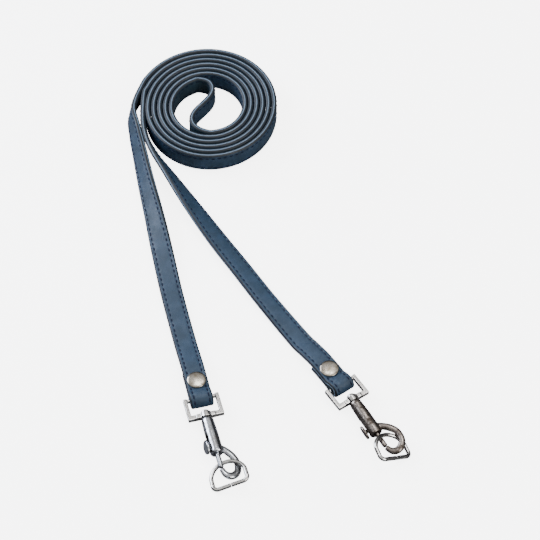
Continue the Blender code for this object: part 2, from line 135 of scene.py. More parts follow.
bm = bmesh.new()
bmesh.ops.create_grid(bm, x_segments=1, y_segments=1, size=FLOOR_SIZE / 2)
bmesh.ops.translate(bm, verts=bm.verts, vec=(0, 0, -FLOOR_DROP))
floor_mesh = bpy.data.meshes.new("floor")
bm.to_mesh(floor_mesh)
bm.free()
floor = bpy.data.objects.new("floor", floor_mesh)
bpy.context.scene.collection.objects.link(floor)
floor_mesh.materials.append(make_floor_material())

for name, (place, size, power, colour) in LIGHTS.items():
    lamp = bpy.data.lights.new(name, "AREA")
    lamp.shape = "SQUARE"
    lamp.size = size
    lamp.energy = power
    lamp.color = colour
    box = bpy.data.objects.new(name, lamp)
    box.location = place
    box.rotation_euler = Vector(place).to_track_quat("Z", "Y").to_euler()
    bpy.context.scene.collection.objects.link(box)

world = bpy.data.worlds.new("studio")
world.use_nodes = True
bpy.context.scene.world = world
sky = world.node_tree
place_node = sky.nodes.new("ShaderNodeTexCoord")
split = sky.nodes.new("ShaderNodeSeparateXYZ")
ramp = sky.nodes.new("ShaderNodeValToRGB")
for element, (position, colour) in zip(ramp.color_ramp.elements, (HORIZON, OVERHEAD)):
    element.position = position
    element.color = colour
sky.links.new(place_node.outputs["Generated"], split.inputs[0])
sky.links.new(split.outputs["Z"], ramp.inputs["Fac"])
sky.links.new(ramp.outputs["Color"], sky.nodes["Background"].inputs["Color"])
sky.nodes["Background"].inputs["Strength"].default_value = SKY_STRENGTH
print("lights:", len(LIGHTS))

# %% [markdown]
# ## Small helpers for shader graphs
# Every finish below is a small graph. These helpers add a node with its settings, and join two sockets,
# so each material reads as a list of what it is made of.

# %% Shader helpers
def add_node(tree, kind, values=None, **settings):
    node = tree.nodes.new("ShaderNode" + kind)
    for name, value in settings.items():
        setattr(node, name, value)
    for name, value in (values or {}).items():
        node.inputs[name].default_value = value
    return node


def math_node(tree, operation, first, second, clamp=False):
    """A Math node whose inputs are sockets or plain numbers."""
    node = add_node(tree, "Math", operation=operation, use_clamp=clamp)
    for socket, value in zip(node.inputs, (first, second)):
        if isinstance(value, (int, float)):
            socket.default_value = value
        else:
            tree.links.new(value, socket)
    return node.outputs[0]


def mix_colour(tree, factor, first, second):
    """Mixes two colours, each a socket or (r, g, b), by a factor socket."""
    node = add_node(tree, "Mix", data_type="RGBA")
    tree.links.new(factor, node.inputs["Factor"])
    for socket, value in zip(colour_sockets(node.inputs), (first, second)):
        if isinstance(value, tuple):
            socket.default_value = (*value, 1)
        else:
            tree.links.new(value, socket)
    return colour_sockets(node.outputs)[0]


def range_node(tree, value, low, high, to_low=0.0, to_high=1.0):
    """A smooth step of a socket's value from one range to another."""
    node = add_node(tree, "MapRange", {
        "From Min": low, "From Max": high, "To Min": to_low, "To Max": to_high
    }, interpolation_type="SMOOTHSTEP")
    tree.links.new(value, node.inputs["Value"])
    return node.outputs["Result"]


def new_group(name, inputs, outputs):
    """An empty shader node group with named float or vector sockets, and its input and output nodes."""
    tree = bpy.data.node_groups.new(name, "ShaderNodeTree")
    for socket, kind, value in inputs:
        made = tree.interface.new_socket(socket, in_out="INPUT", socket_type="NodeSocket" + kind)
        if value is not None:
            made.default_value = value
    for socket, kind in outputs:
        tree.interface.new_socket(socket, in_out="OUTPUT", socket_type="NodeSocket" + kind)
    return tree, tree.nodes.new("NodeGroupInput"), tree.nodes.new("NodeGroupOutput")


def use_group(tree, group, values):
    node = add_node(tree, "Group")
    node.node_tree = group
    for name, value in values.items():
        node.inputs[name].default_value = value
    return node


def new_material(name):
    made = bpy.data.materials.new(name)
    made.use_nodes = True
    tree = made.node_tree
    return made, tree, tree.nodes["Principled BSDF"]


def add_bump(tree, shader, height, distance, strength=1.0):
    bump = add_node(tree, "Bump", {"Strength": strength, "Distance": distance})
    tree.links.new(height, bump.inputs["Height"])
    tree.links.new(bump.outputs["Normal"], shader.inputs["Normal"])


print("shader helpers ready")

# %% [markdown]
# ## Leather grain
# Smooth strap leather has a fine pebble: rounded cells about half a millimetre across, divided by creases.
# Two scales of cells and a slow cloudiness give it. Both plies use the same group with their own values.

# %% Leather grain group
def make_grain_group():
    tree, given, result = new_group(
        "leather grain",
        (("Vector", "Vector", None), ("Cells per mm", "Float", 2.2), ("Cloud per mm", "Float", 0.12)),
        (("Height", "Float"), ("Crease", "Float"), ("Cloud", "Float")),
    )
    cells = add_node(tree, "TexVoronoi", {"Randomness": 0.9}, feature="DISTANCE_TO_EDGE")
    ripple = add_node(tree, "TexNoise", {"Detail": 3.0, "Roughness": 0.6})
    cloud = add_node(tree, "TexNoise", {"Detail": 3.0, "Roughness": 0.55})
    for texture in (cells, ripple, cloud):
        tree.links.new(given.outputs["Vector"], texture.inputs["Vector"])
    tree.links.new(given.outputs["Cells per mm"], cells.inputs["Scale"])
    tree.links.new(math_node(tree, "MULTIPLY", given.outputs["Cells per mm"], 2.5), ripple.inputs["Scale"])
    tree.links.new(given.outputs["Cloud per mm"], cloud.inputs["Scale"])
    pebble = range_node(tree, cells.outputs["Distance"], 0.0, 0.22)
    height = math_node(tree, "MULTIPLY_ADD", ripple.outputs["Fac"], 0.35)
    tree.links.new(pebble, height.node.inputs[2])
    tree.links.new(height, result.inputs["Height"])
    tree.links.new(math_node(tree, "SUBTRACT", 1.0, pebble), result.inputs["Crease"])
    tree.links.new(range_node(tree, cloud.outputs["Fac"], 0.3, 0.7), result.inputs["Cloud"])
    return tree


grain_group = make_grain_group()
print("leather grain sockets:", [item.name for item in grain_group.interface.items_tree])

# %% [markdown]
# ## Worn metal
# Plating and castings differ only in how far they have worn. One group gives three masks: slow clouds of
# tarnish, small pits, and long rubbed streaks. Each metal mixes its own colours by them.

# %% Metal wear group
def make_wear_group():
    tree, given, result = new_group(
        "metal wear",
        (("Vector", "Vector", None), ("Cloud per mm", "Float", 0.25), ("Pits per mm", "Float", 2.0)),
        (("Tarnish", "Float"), ("Pits", "Float"), ("Rub", "Float")),
    )
    cloud = add_node(tree, "TexNoise", {"Detail": 5.0, "Roughness": 0.62, "Distortion": 0.4})
    pits = add_node(tree, "TexNoise", {"Detail": 2.0, "Roughness": 0.5})
    rub = add_node(tree, "TexNoise", {"Detail": 4.0, "Roughness": 0.7})
    stretch = add_node(tree, "Mapping", {"Scale": (1.0, 1.0, 4.0)})
    tree.links.new(given.outputs["Vector"], stretch.inputs["Vector"])
    for texture in (cloud, pits):
        tree.links.new(given.outputs["Vector"], texture.inputs["Vector"])
    tree.links.new(stretch.outputs["Vector"], rub.inputs["Vector"])
    tree.links.new(given.outputs["Cloud per mm"], cloud.inputs["Scale"])
    tree.links.new(given.outputs["Pits per mm"], pits.inputs["Scale"])
    tree.links.new(math_node(tree, "MULTIPLY", given.outputs["Cloud per mm"], 4.0), rub.inputs["Scale"])
    tree.links.new(range_node(tree, cloud.outputs["Fac"], 0.38, 0.66), result.inputs["Tarnish"])
    tree.links.new(range_node(tree, pits.outputs["Fac"], 0.56, 0.72), result.inputs["Pits"])
    tree.links.new(range_node(tree, rub.outputs["Fac"], 0.45, 0.7), result.inputs["Rub"])
    return tree


wear_group = make_wear_group()
print("metal wear sockets:", [item.name for item in wear_group.interface.items_tree])

# %% [markdown]
# ## Navy leather
# The strap's own map holds its real size: across the strap and along it, in millimetres. So the pebble
# keeps its size round every bend. The same map shows where the cut edge starts, and there the leather
# gives way to edge paint, dark and dull, with a painted highlight: a light line along its crest.

# %% Leather materials
STRAP_MAP = "strap_mm"
HALF_WIDTH_MM = 6.0
EDGE_PAINT = (5.35, 5.8)
# Painted highlight: a lighter band along the middle of the rounded edge paint, standing in for light on its
# crest
EDGE_CREST_HIGHLIGHT = (HALF_WIDTH_MM + 0.76, HALF_WIDTH_MM + 0.92)
EDGE_PAINT_ROUGHER = 0.12
CREASE_SHADE = 0.55
EDGE_PAINT_COLOUR = (0.002, 0.006, 0.012)
# The colour of the painted highlight on the edge's crest
PAINTED_CREST_HIGHLIGHT = (0.17, 0.25, 0.35)


def make_leather(name, colour, dark, roughness, grain_depth):
    made, tree, shader = new_material(name)
    place = add_node(tree, "UVMap", uv_map=STRAP_MAP)
    grain = use_group(tree, grain_group, {"Cells per mm": 2.2, "Cloud per mm": 0.12})
    tree.links.new(place.outputs["UV"], grain.inputs["Vector"])
    split_node = add_node(tree, "SeparateXYZ")
    tree.links.new(place.outputs["UV"], split_node.inputs[0])
    from_middle = math_node(tree, "ABSOLUTE", split_node.outputs["X"], 0.0)
    edge = range_node(tree, from_middle, *EDGE_PAINT)
    crest_highlight = range_node(tree, from_middle, *EDGE_CREST_HIGHLIGHT)
    leather = mix_colour(tree, grain.outputs["Cloud"], dark, colour)
    crease = math_node(tree, "MULTIPLY", grain.outputs["Crease"], CREASE_SHADE)
    painted = mix_colour(tree, edge, mix_colour(tree, crease, leather, dark), EDGE_PAINT_COLOUR)
    # The crest mask paints the highlight colour over the edge paint
    tree.links.new(mix_colour(tree, crest_highlight, painted, PAINTED_CREST_HIGHLIGHT), shader.inputs["Base Color"])
    rough = range_node(tree, grain.outputs["Cloud"], 0.0, 1.0, roughness + 0.05, roughness - 0.04)
    smooth_edge = math_node(tree, "MULTIPLY_ADD", edge, EDGE_PAINT_ROUGHER)
    tree.links.new(rough, smooth_edge.node.inputs[2])
    tree.links.new(smooth_edge, shader.inputs["Roughness"])
    shader.inputs["Specular IOR Level"].default_value = 0.5
    flat_edge = math_node(tree, "SUBTRACT", 1.0, edge)
    add_bump(tree, shader, math_node(tree, "MULTIPLY", grain.outputs["Height"], flat_edge), grain_depth)
    return made


face_leather = make_leather("navy_grain_leather", (0.022, 0.052, 0.1), (0.01, 0.03, 0.058), 0.42, 0.00006)
lining_leather = make_leather("navy_lining_leather", (0.016, 0.042, 0.064), (0.008, 0.025, 0.04), 0.5, 0.00004)
print("leathers:", face_leather.name, lining_leather.name)

# %% [markdown]
# ## The strap's route
# The strap is one smooth line from the left end to the right end. It starts under the left rivet, goes
# round the bar of the eye, back over itself, and twists from lying flat to standing on its edge.
# Wound as a folded pair, it then makes a double spiral, turns back on itself in the middle, and comes
# out again beside its own first half. The free stretches are listed points, and the turns of
# the coil follow a formula.

# %% Route of the strap
STRAP_WIDTH = 12.0 * MM
STRAP_THICKNESS = 3.0 * MM
COIL_CENTRE = Vector((-30.1, 102.2)) * MM
COIL_OUTER_RADIUS = 41.8 * MM
LAYER_PITCH = 3.4 * MM
COIL_STRETCH = (0.976, 1.024)
POINTS_PER_TURN = 36
FIRST_HALF_TURNS = (0.06, 3.2)
SECOND_HALF_TURNS = (0.03, 2.74)
# x, y in millimetres, and the lean from standing (0) to lying flat (90)
LEFT_LEG = (
    (-47.3, -23.2, 89), (-53.3, 4.3, 78), (-58.3, 27.3, 57), (-63.4, 49.3, 42),
    (-67.8, 70.3, 32), (-71.3, 87.3, 24), (-73.2, 101.3, 12),
)
CENTRE_BEND = (
    (-30.3, 119.9), (-27.8, 114.9), (-29.1, 109.1), (-32.9, 103.6),
    (-37.1, 98.2), (-39.1, 93.0), (-38.2, 88.0), (-34.6, 84.2),
)
RIGHT_LEG = (
    (-66.2, 89.0, 3), (-60.7, 73.0, 20), (-50.8, 56.0, 36), (-37.9, 34.7, 56),
    (-23.5, 12.1, 72), (-10.4, -7.5, 77), (2.2, -26.8, 80),
)
# The end loop's profile in millimetres: forward from the eye's bar, and height
WRAP_RADIUS = 3.0 * MM
LOOP_APPROACH = (
    (-38.0, 1.8), (-28.0, 3.6), (-20.5, 5.2), (-15.5, 5.55), (-10.1, 5.55), (-4.9, 5.45), (-2.4, 6.8),
)
LOOP_RETURN = ((-3.0, 1.8), (-6.0, 2.42), (-9.9, 2.45), (-13.7, 2.45), (-17.7, 2.45))
STRAP_HEADING = {"left": 14.0, "right": 35.0}
SIDES = tuple(STRAP_HEADING)


def heading_vectors(degrees):
    """The forward and rightward directions of a heading measured from -Y towards +X."""
    angle = math.radians(degrees)
    return Vector((math.sin(angle), -math.cos(angle), 0)), Vector((math.cos(angle), math.sin(angle), 0))


def bar_centre(side):
    return Vector(joints[side + "_eye_hinge"]["pos_m"])


def coil_points(turn_range, offset):
    """One half of the double spiral, from outside to inside."""
    first, last = turn_range
    count = round((last - first) * POINTS_PER_TURN)
    found = []
    for i in range(count + 1):
        turns = first + (last - first) * i / count
        radius = COIL_OUTER_RADIUS - offset - 2 * LAYER_PITCH * turns
        angle = 2 * math.pi * turns
        x = COIL_CENTRE.x - radius * COIL_STRETCH[0] * math.cos(angle)
        y = COIL_CENTRE.y + radius * COIL_STRETCH[1] * math.sin(angle)
        found.append(Vector((x, y, STRAP_WIDTH / 2)))
    return found


def end_points(side):
    """The end loop, from the flap's cut end, under and round the bar, and back to the ground."""
    forward, _ = heading_vectors(STRAP_HEADING[side])
    bar = bar_centre(side)
    profile = [Vector(pair) * MM for pair in reversed(LOOP_RETURN)]
    for degrees in range(-75, 76, 15):
        angle = math.radians(degrees)
        profile.append(Vector((WRAP_RADIUS * math.cos(angle), bar.z + WRAP_RADIUS * math.sin(angle))))
    profile += [Vector(pair) * MM for pair in reversed(LOOP_APPROACH)]
    return [Vector((bar.x, bar.y, 0)) + forward * p.x + UP * p.y for p in profile]


def leg_points(route):
    """Centre-line points of a leg, each with the direction of the edge that is on top in the coil."""
    places = [Vector((x, y, 0)) * MM for x, y, _ in route]
    found = []
    for i, (_, _, lean) in enumerate(route):
        along = (places[min(i + 1, len(places) - 1)] - places[max(i - 1, 0)]).normalized()
        lean = math.radians(lean)
        height = STRAP_WIDTH / 2 * math.cos(lean) + (STRAP_THICKNESS / 2 + 0.05 * MM) * math.sin(lean)
        edge = UP * math.cos(lean) + along.cross(UP) * math.sin(lean)
        found.append((places[i] + UP * height, edge))
    return found


def strap_route():
    left_side = heading_vectors(STRAP_HEADING["left"])[1]
    right_side = heading_vectors(STRAP_HEADING["right"])[1]
    route = [(point, left_side) for point in end_points("left")]
    route += leg_points(LEFT_LEG)
    route += [(point, UP) for point in coil_points(FIRST_HALF_TURNS, 0.0)]
    route += [(Vector((x * MM, y * MM, STRAP_WIDTH / 2)), UP) for x, y in CENTRE_BEND]
    route += [(point, UP) for point in reversed(coil_points(SECOND_HALF_TURNS, LAYER_PITCH))]
    route += leg_points(RIGHT_LEG)
    route += [(point, -right_side) for point in reversed(end_points("right"))]
    return route


route = strap_route()
print("route points:", len(route))

# %% [markdown]
# A Catmull-Rom curve passes through every point of the route. At each station along it the strap needs
# three things: where its middle is, which way its edge points, and which way its grain side faces.

# %% Stations along the strap
STATION_STEP = 1.6 * MM
STATION_TWIST = math.radians(2.5)


def smooth_curve(points, per_span):
    """Points along a Catmull-Rom curve through the vectors, with a count for each span or one for all."""
    if isinstance(per_span, int):
        per_span = [per_span] * (len(points) - 1)
    ends = [2 * points[0] - points[1]] + list(points) + [2 * points[-1] - points[-2]]
    found = []
    for before, start, end, after, count in zip(ends, ends[1:], ends[2:], ends[3:], per_span):
        for step in range(count):
            t = step / count
            found.append(
                0.5 * (2 * start + (end - before) * t
                       + (2 * before - 5 * start + 4 * end - after) * t ** 2
                       + (3 * start - before - 3 * end + after) * t ** 3)
            )
    found.append(points[-1])
    return found


def strap_stations():
    """(centre, edge direction, grain direction, length so far) along the strap."""
    counts = []
    for (start, edge), (end, next_edge) in zip(route, route[1:]):
        by_length = math.ceil((end - start).length / STATION_STEP)
        by_twist = math.ceil(edge.angle(next_edge) / STATION_TWIST - 0.01)
        counts.append(max(by_length, by_twist, 1))
    centres = smooth_curve([point for point, _ in route], counts)
    edges = smooth_curve([edge for _, edge in route], counts)
    found = []
    length = 0.0
    for i, centre in enumerate(centres):
        before = centres[max(i - 1, 0)]
        after = centres[min(i + 1, len(centres) - 1)]
        along = (after - before).normalized()
        grain = edges[i].cross(along).normalized()
        length += (centre - before).length
        found.append((centre, along.cross(grain), grain, length))
    return found


stations = strap_stations()
strap_length = stations[-1][3]
print("strap length %.0f mm at %d stations" % (strap_length / MM, len(stations)))

# %% [markdown]
# ## The two plies
# Each ply is the same outline carried along the stations. The outline is what a maker would see at a cut:
# a flat glued side, a rounded painted edge, a groove where each seam was pulled tight, and a low crown
# between the seams.

# %% Ply outline
PLY_GAP = 0.1
EDGE_ROUND = 1.15
SEAM_FROM_MIDDLE = 3.9
GROOVE_HALF_WIDTH = 0.62
GROOVE_DEPTH = 0.18
CROWN = 0.07
HALF_THICKNESS_MM = 1.5
SIDE_HEIGHT = HALF_THICKNESS_MM - CROWN - PLY_GAP / 2
CREST_MAP_SPARE = 0.2


def ply_outline():
    """(across, outwards, mapped across) in millimetres, round the ply from its glued side."""
    half = []
    for degrees in range(0, 91, 15):
        angle = math.radians(degrees)
        across = HALF_WIDTH_MM - EDGE_ROUND * (1 - math.cos(angle)) * 0.8
        outwards = HALF_THICKNESS_MM - CROWN - SIDE_HEIGHT * (1 - math.sin(angle))
        mapped = HALF_WIDTH_MM - 0.7 + (HALF_THICKNESS_MM + CREST_MAP_SPARE) * (1 - degrees / 90)
        half.append((across, outwards, mapped))
    for step in range(-3, 4):
        across = SEAM_FROM_MIDDLE - GROOVE_HALF_WIDTH * step / 3
        dip = GROOVE_DEPTH * (0.5 + 0.5 * math.cos(math.pi * step / 3))
        half.append((across, HALF_THICKNESS_MM - CROWN - dip, across))
    for across in (2.2, 1.0):
        rise = CROWN * (1 - (across / SEAM_FROM_MIDDLE) ** 2)
        half.append((across, HALF_THICKNESS_MM - CROWN + rise, across))
    middle = [(0.0, HALF_THICKNESS_MM, 0.0)]
    return half + middle + [(-a, b, -u) for a, b, u in reversed(half)]


ply_section = ply_outline()
print("points round a ply:", len(ply_section))

# %% Plies as meshes
def add_piece(name, mesh, material, smooth_angle=40):
    mesh.materials.clear()
    mesh.materials.append(material)
    mesh.shade_smooth()
    mesh.set_sharp_from_angle(angle=math.radians(smooth_angle))
    piece = bpy.data.objects.new(name, mesh)
    bpy.context.scene.collection.objects.link(piece)
    return piece


def clean_mesh(name, bm):
    """Merges doubles, turns the faces outwards and gives the mesh."""
    bmesh.ops.remove_doubles(bm, verts=bm.verts, dist=0.001 * MM)
    bmesh.ops.recalc_face_normals(bm, faces=bm.faces)
    mesh = bpy.data.meshes.new(name)
    bm.to_mesh(mesh)
    bm.free()
    return mesh


def make_ply(name, grain_sign, material):
    """A ply on the grain side (+1) or the lining side (-1) of the strap's middle."""
    bm = bmesh.new()
    strap_map = bm.loops.layers.uv.new(STRAP_MAP)
    rings = []
    for centre, edge, grain, _ in stations:
        ring = []
        for across, outwards, _ in ply_section:
            ring.append(bm.verts.new(centre + edge * across * MM + grain * grain_sign * outwards * MM))
        rings.append(ring)
    count = len(ply_section)
    for i in range(len(rings) - 1):
        starts = (stations[i][3] / MM, stations[i + 1][3] / MM)
        for j in range(count):
            k = (j + 1) % count
            face = bm.faces.new((rings[i][j], rings[i][k], rings[i + 1][k], rings[i + 1][j]))
            here, beside = ply_section[j][2], ply_section[k][2]
            corners = ((here, starts[0]), (beside, starts[0]), (beside, starts[1]), (here, starts[1]))
            for loop, corner in zip(face.loops, corners):
                loop[strap_map].uv = corner
    bm.faces.new(rings[0][::-1])
    bm.faces.new(rings[-1])
    bmesh.ops.recalc_face_normals(bm, faces=bm.faces)
    mesh = bpy.data.meshes.new(name)
    bm.to_mesh(mesh)
    bm.free()
    return add_piece(name, mesh, material, smooth_angle=50)


grain_ply = make_ply("strap_grain_ply", 1, face_leather)
lining_ply = make_ply("strap_lining_ply", -1, lining_leather)
for ply, node, slot in (
    (grain_ply, "strap_face", "leather_face"), (lining_ply, "strap_lining", "leather_lining"),
):
    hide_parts(node)
    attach(ply, "strap")
print("faces in a ply:", len(grain_ply.data.polygons))

# %% [markdown]
# ## Stitches
# Four seams run the whole length: two on the grain side and two on the lining side. A lockstitch shows as
# short arches of thread that dive into the leather at both ends. Geometry Nodes lay one thread arch at
# every pitch along the seam's line, turned to the line and to the leather, and slightly uneven, as real
# stitching is. A seam's line is a string of points that carry the leather's outward direction.

# %% One stitch
STITCH_PITCH = 3.4 * MM
STITCH_LENGTH = 2.3 * MM
THREAD_RADIUS = 0.42 * MM
THREAD_SIDES = 6
STITCH_UNEVENNESS = 0.05
SEAM_SEED = 3


def make_stitch_mesh():
    """An arch of thread along X, with its ends below the leather. Z points out of the leather."""
    bm = bmesh.new()
    rings = []
    for step in range(6):
        t = step / 5
        x = (t - 0.5) * STITCH_LENGTH
        z = THREAD_RADIUS * (0.95 * math.sin(math.pi * t) - 0.75)
        size = THREAD_RADIUS * (0.72 + 0.28 * math.sin(math.pi * t))
        ring = []
        for side in range(THREAD_SIDES):
            angle = 2 * math.pi * side / THREAD_SIDES
            ring.append(bm.verts.new((x, size * math.cos(angle), z + size * 0.8 * math.sin(angle))))
        rings.append(ring)
    for ring, following in zip(rings, rings[1:]):
        for j in range(THREAD_SIDES):
            k = (j + 1) % THREAD_SIDES
            bm.faces.new((ring[j], ring[k], following[k], following[j]))
    bm.faces.new(rings[0][::-1])
    bm.faces.new(rings[-1])
    mesh = clean_mesh("stitch", bm)
    mesh.shade_smooth()
    return mesh


stitch = bpy.data.objects.new("stitch", make_stitch_mesh())
bpy.context.scene.collection.objects.link(stitch)
print("faces in a stitch:", len(stitch.data.polygons))

# %% Thread material
THREAD_COLOURS = ((0.004, 0.006, 0.016), (0.012, 0.018, 0.05))
STRANDS_PER_METRE = 2600.0
STRAND_DEPTH = 0.04 * MM


def make_thread_material():
    """Waxed thread, nearly black, with its strands wound round it."""
    made, tree, shader = new_material("navy_waxed_thread")
    place = add_node(tree, "TexCoord")
    strands = add_node(tree, "TexWave", {
        "Scale": STRANDS_PER_METRE, "Distortion": 2.0, "Detail": 1.0,
    }, bands_direction="DIAGONAL")
    tree.links.new(place.outputs["Object"], strands.inputs["Vector"])
    colour = mix_colour(tree, strands.outputs["Fac"], *THREAD_COLOURS)
    tree.links.new(colour, shader.inputs["Base Color"])
    tree.links.new(range_node(tree, strands.outputs["Fac"], 0.0, 1.0, 0.75, 0.6), shader.inputs["Roughness"])
    shader.inputs["Specular IOR Level"].default_value = 0.2
    add_bump(tree, shader, strands.outputs["Fac"], STRAND_DEPTH)
    return made


thread_material = make_thread_material()
print("thread:", thread_material.name)

# %% A new Geometry Nodes tree
def new_geometry_tree(name, inputs):
    """A tree with the named inputs after its geometry, and its two shorthands: add a node, link two sockets."""
    tree = bpy.data.node_groups.new(name, "GeometryNodeTree")
    sockets = [("Geometry", "INPUT", "Geometry")] + [(socket, "INPUT", kind) for socket, kind in inputs]
    for socket, in_out, kind in sockets + [("Geometry", "OUTPUT", "Geometry")]:
        tree.interface.new_socket(socket, in_out=in_out, socket_type="NodeSocket" + kind)

    def add(kind, **settings):
        node = tree.nodes.new(kind)
        for name, value in settings.items():
            setattr(node, name, value)
        return node

    return tree, add, tree.links.new


# %% Seam tree in Geometry Nodes
STITCH_SLANT = (0.02, 0.3, 1.0)


def make_seam_tree():
    tree, add, link = new_geometry_tree("seam", (
        ("Stitch", "Object"), ("Pitch", "Float"), ("Unevenness", "Float"), ("Seed", "Int"),
        ("Thread", "Material"),
    ))
    given = add("NodeGroupInput")
    result = add("NodeGroupOutput")
    line = add("GeometryNodeMeshToCurve")
    even = add("GeometryNodeResampleCurve", mode="LENGTH")
    outwards = add("GeometryNodeInputNamedAttribute", data_type="FLOAT_VECTOR")
    outwards.inputs["Name"].default_value = "outwards"
    tangent = add("GeometryNodeInputTangent")
    turn = add("FunctionNodeAxesToRotation", primary_axis="Z", secondary_axis="X")
    slant = add("FunctionNodeRandomValue", data_type="FLOAT_VECTOR")
    sway = add("ShaderNodeVectorMath", operation="SCALE")
    slanted = add("FunctionNodeRotateRotation", rotation_space="LOCAL")
    place = add("GeometryNodeInstanceOnPoints")
    shape = add("GeometryNodeObjectInfo")
    real = add("GeometryNodeRealizeInstances")
    paint = add("GeometryNodeSetMaterial")
    least, most = [s for s in slant.inputs if s.enabled and s.name in ("Min", "Max")]
    least.default_value = [-value for value in STITCH_SLANT]
    most.default_value = STITCH_SLANT
    link(given.outputs["Geometry"], line.inputs["Mesh"])
    link(line.outputs["Curve"], even.inputs["Curve"])
    link(given.outputs["Pitch"], even.inputs["Length"])
    link([s for s in outwards.outputs if s.enabled and s.name == "Attribute"][0], turn.inputs["Primary Axis"])
    link(tangent.outputs["Tangent"], turn.inputs["Secondary Axis"])
    link(given.outputs["Seed"], slant.inputs["Seed"])
    link([s for s in slant.outputs if s.enabled][0], sway.inputs[0])
    link(given.outputs["Unevenness"], sway.inputs["Scale"])
    link(turn.outputs["Rotation"], slanted.inputs["Rotation"])
    link(sway.outputs["Vector"], slanted.inputs["Rotate By"])
    link(given.outputs["Stitch"], shape.inputs["Object"])
    link(even.outputs["Curve"], place.inputs["Points"])
    link(shape.outputs["Geometry"], place.inputs["Instance"])
    link(slanted.outputs["Rotation"], place.inputs["Rotation"])
    link(place.outputs["Instances"], real.inputs["Geometry"])
    link(real.outputs["Geometry"], paint.inputs["Geometry"])
    link(given.outputs["Thread"], paint.inputs["Material"])
    link(paint.outputs["Geometry"], result.inputs["Geometry"])
    return tree


seam_tree = make_seam_tree()
print("seam inputs:", [item.name for item in seam_tree.interface.items_tree if item.in_out == "INPUT"])

# %% Run a tree and keep its mesh
def run_tree(source, tree, values):
    """Gives the tree's inputs their values, evaluates the source object, and returns the plain mesh."""
    modifier = source.modifiers.new(tree.name, "NODES")
    modifier.node_group = tree
    sockets = {item.name: item.identifier for item in tree.interface.items_tree if item.in_out == "INPUT"}
    for name, value in values.items():
        modifier[sockets[name]] = value
    graph = bpy.context.evaluated_depsgraph_get()
    mesh = bpy.data.meshes.new_from_object(source.evaluated_get(graph))
    source.modifiers.remove(modifier)
    return mesh


def seam_lines(grain_sign):
    """Two strings of points on one side of the strap, each point with its outward direction."""
    points = []
    strings = []
    outwards = []
    surface = (HALF_THICKNESS_MM - CROWN - GROOVE_DEPTH * 0.55) * MM
    for across in (-SEAM_FROM_MIDDLE, SEAM_FROM_MIDDLE):
        first = len(points)
        for centre, edge, grain, _ in stations:
            points.append(centre + edge * across * MM + grain * grain_sign * surface)
            outwards.extend(grain * grain_sign)
        strings += [(i, i + 1) for i in range(first, len(points) - 1)]
    mesh = bpy.data.meshes.new("seam_line")
    mesh.from_pydata(points, strings, [])
    attribute = mesh.attributes.new("outwards", "FLOAT_VECTOR", "POINT")
    attribute.data.foreach_set("vector", outwards)
    source = bpy.data.objects.new("seam_line", mesh)
    bpy.context.scene.collection.objects.link(source)
    return source


for number, (name, grain_sign, slot) in enumerate((
    ("grain_side_stitches", 1, "leather_face"), ("lining_side_stitches", -1, "leather_lining"),
)):
    source = seam_lines(grain_sign)
    mesh = run_tree(source, seam_tree, {
        "Stitch": stitch, "Pitch": STITCH_PITCH, "Unevenness": STITCH_UNEVENNESS,
        "Seed": SEAM_SEED + number, "Thread": thread_material,
    })
    bpy.data.objects.remove(source)
    seams = bpy.data.objects.new(name, mesh)
    bpy.context.scene.collection.objects.link(seams)
    mesh.shade_smooth()
    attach(seams, "strap")
    print(name, "faces:", len(mesh.polygons))
bpy.data.objects.remove(stitch)

# %% [markdown]
# ## Metals
# Three finishes stand on one bench: bright nickel plate on the eyes and rings, a cast snap that is bright
# on the left and browned by handling on the right, and the warm satin of the rivet caps. Each is the
# worn-metal group with its own colours, its own roughness and its own bump.

# %% Metal materials
def make_metal(name, clean, tarnished, roughness, rough_spread, pit_depth, wear, tarnish_amount):
    made, tree, shader = new_material(name)
    place = add_node(tree, "TexCoord")
    in_mm = add_node(tree, "Mapping", {"Scale": (1000.0, 1000.0, 1000.0)})
    tree.links.new(place.outputs["Object"], in_mm.inputs["Vector"])
    worn = use_group(tree, wear_group, wear)
    tree.links.new(in_mm.outputs["Vector"], worn.inputs["Vector"])
    dull = math_node(tree, "MULTIPLY", worn.outputs["Tarnish"], tarnish_amount)
    pitted = math_node(tree, "MULTIPLY_ADD", worn.outputs["Pits"], 0.35 * tarnish_amount, clamp=True)
    tree.links.new(dull, pitted.node.inputs[2])
    tree.links.new(mix_colour(tree, pitted, clean, tarnished), shader.inputs["Base Color"])
    rough = math_node(tree, "MULTIPLY_ADD", pitted, rough_spread, clamp=True)
    rough.node.inputs[2].default_value = roughness
    tree.links.new(rough, shader.inputs["Roughness"])
    shader.inputs["Metallic"].default_value = 1.0
    height = math_node(tree, "MULTIPLY_ADD", worn.outputs["Rub"], 0.3)
    tree.links.new(worn.outputs["Pits"], height.node.inputs[2])
    add_bump(tree, shader, height, -pit_depth)
    return made


